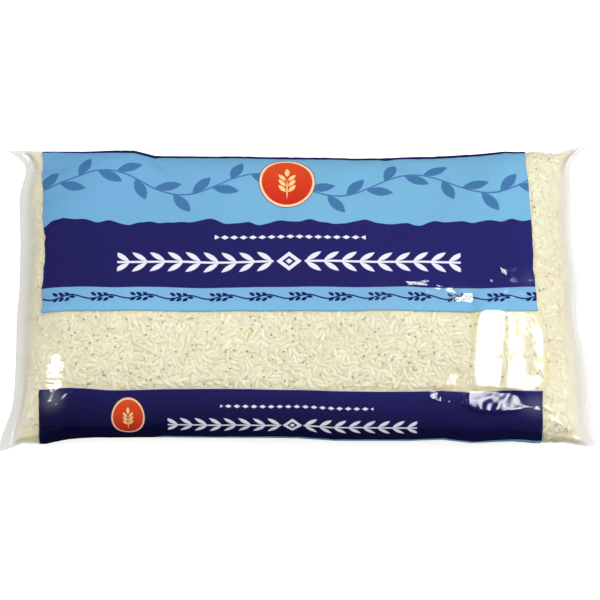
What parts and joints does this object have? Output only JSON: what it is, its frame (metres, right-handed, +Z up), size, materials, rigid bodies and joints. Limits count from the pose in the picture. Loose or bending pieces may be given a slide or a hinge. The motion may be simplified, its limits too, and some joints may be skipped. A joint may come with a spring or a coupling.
{
  "type": "bag of rice",
  "caption": "Sealed clear film pillow bag filled tight with long-grain rice, with printed panels and a flat welded fin across each end, lying on its back.",
  "frame": {"origin": "middle of the flat underside that the bag lies on", "axes": "+X along the bag towards the end whose clear margin is wider, +Y across it towards the edge of the sky blue print, +Z up out of the printed front"},
  "size_m": [0.2716, 0.1473, 0.0428],
  "materials": {
    "film": "clear glossy polyethylene film over cream rice",
    "rice": "satin, slightly translucent milled rice",
    "print": "glossy film printed navy, sky blue and light blue"
  },
  "bodies": {
    "root": {"rice_bag": "film"}
  },
  "joints": []
}
